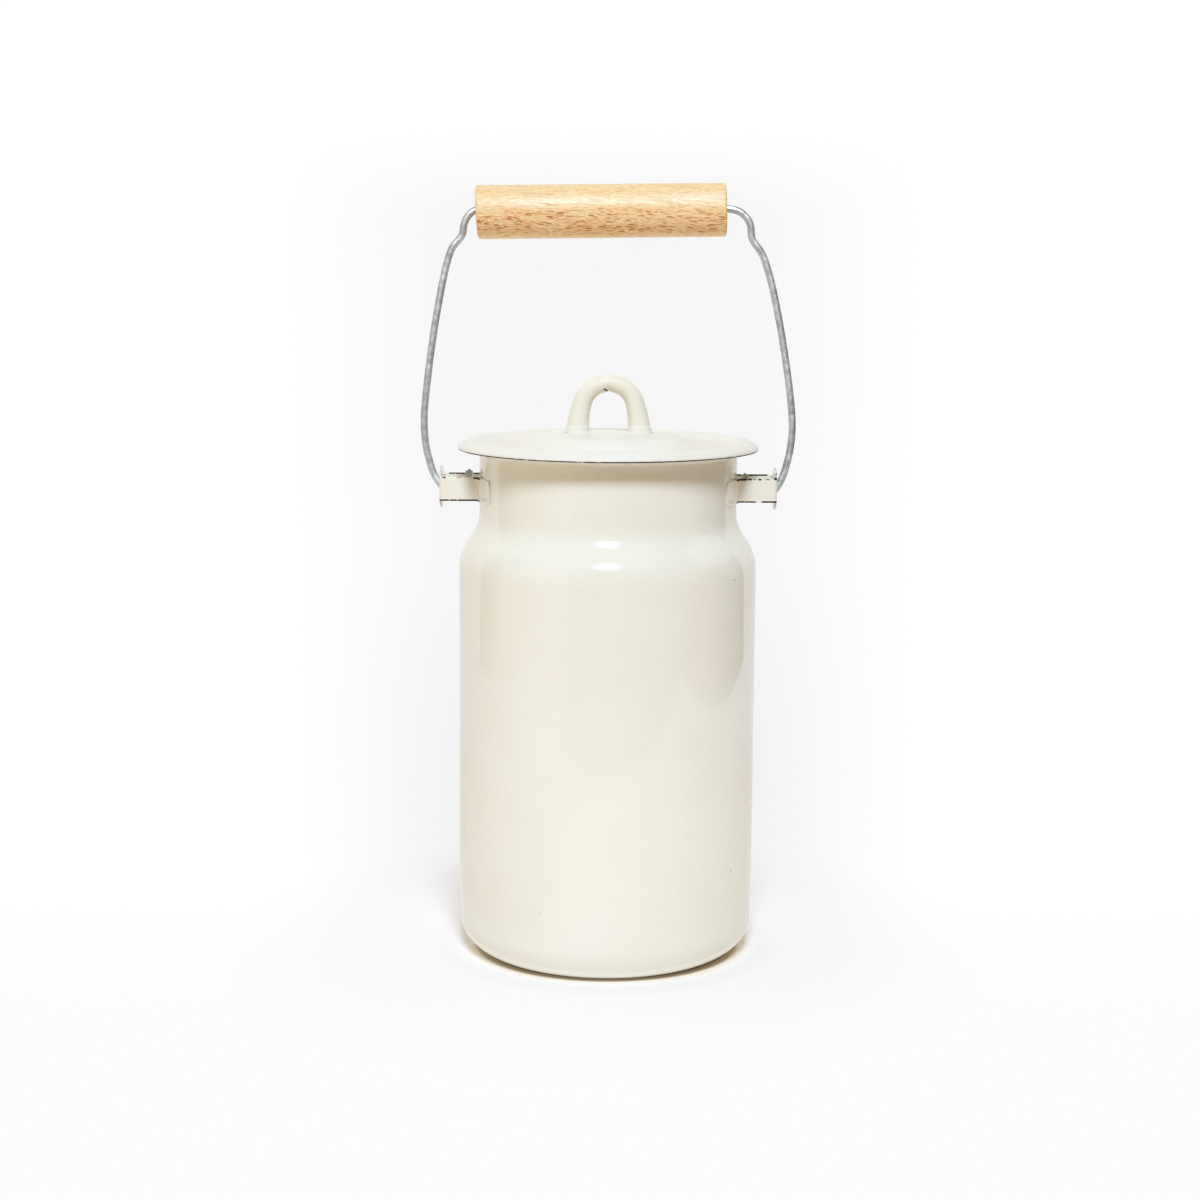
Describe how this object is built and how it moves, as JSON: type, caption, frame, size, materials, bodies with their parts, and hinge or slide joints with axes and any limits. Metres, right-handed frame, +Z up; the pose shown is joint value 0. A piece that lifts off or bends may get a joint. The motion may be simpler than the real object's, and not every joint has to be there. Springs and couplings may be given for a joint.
{
  "type": "milk can",
  "caption": "Enamelled steel milk can with rounded shoulder and neck, lift-off plug lid with loop, strap ears and a swinging wire bail with wooden grip.",
  "frame": {"origin": "centre of the standing ring, on the surface the can stands on", "axes": "+Z up along the can's axis; +X through the two ears, towards the right ear; +Y away from the viewer"},
  "size_m": [0.1508, 0.1208, 0.3113],
  "materials": {
    "enamel": "glossy cream vitreous enamel on sheet steel, raw edges dark",
    "enamel_lid": "glossy cream vitreous enamel on sheet steel, raw rim dark",
    "galvanised_wire": "drawn wire with a dull zinc coat",
    "beech": "turned pale beech with short darker flecks, thin satin lacquer"
  },
  "bodies": {
    "can": {"can_body": "enamel", "ear_left": "enamel", "ear_right": "enamel"},
    "lid": {"lid_shell": "enamel_lid", "lid_collar": "enamel_lid", "lid_loop": "enamel_lid"},
    "bail": {"bail_wire": "galvanised_wire"},
    "grip": {"wood_grip": "beech"}
  },
  "joints": [
    {"name": "lid_lift", "type": "slide", "parent": "can", "child": "lid", "axis": [0, 0, 1], "range_m": [0, 0.045]},
    {"name": "bail_swing", "type": "hinge", "parent": "can", "child": "bail", "pos_m": [0, 0, 0.19], "axis": [1, 0, 0], "range_deg": [-139, 139]},
    {"name": "grip_turn", "type": "hinge", "parent": "bail", "child": "grip", "pos_m": [-0.00338, 0, 0.29997], "axis": [0.9999, 0, 0.0157], "continuous": true}
  ]
}
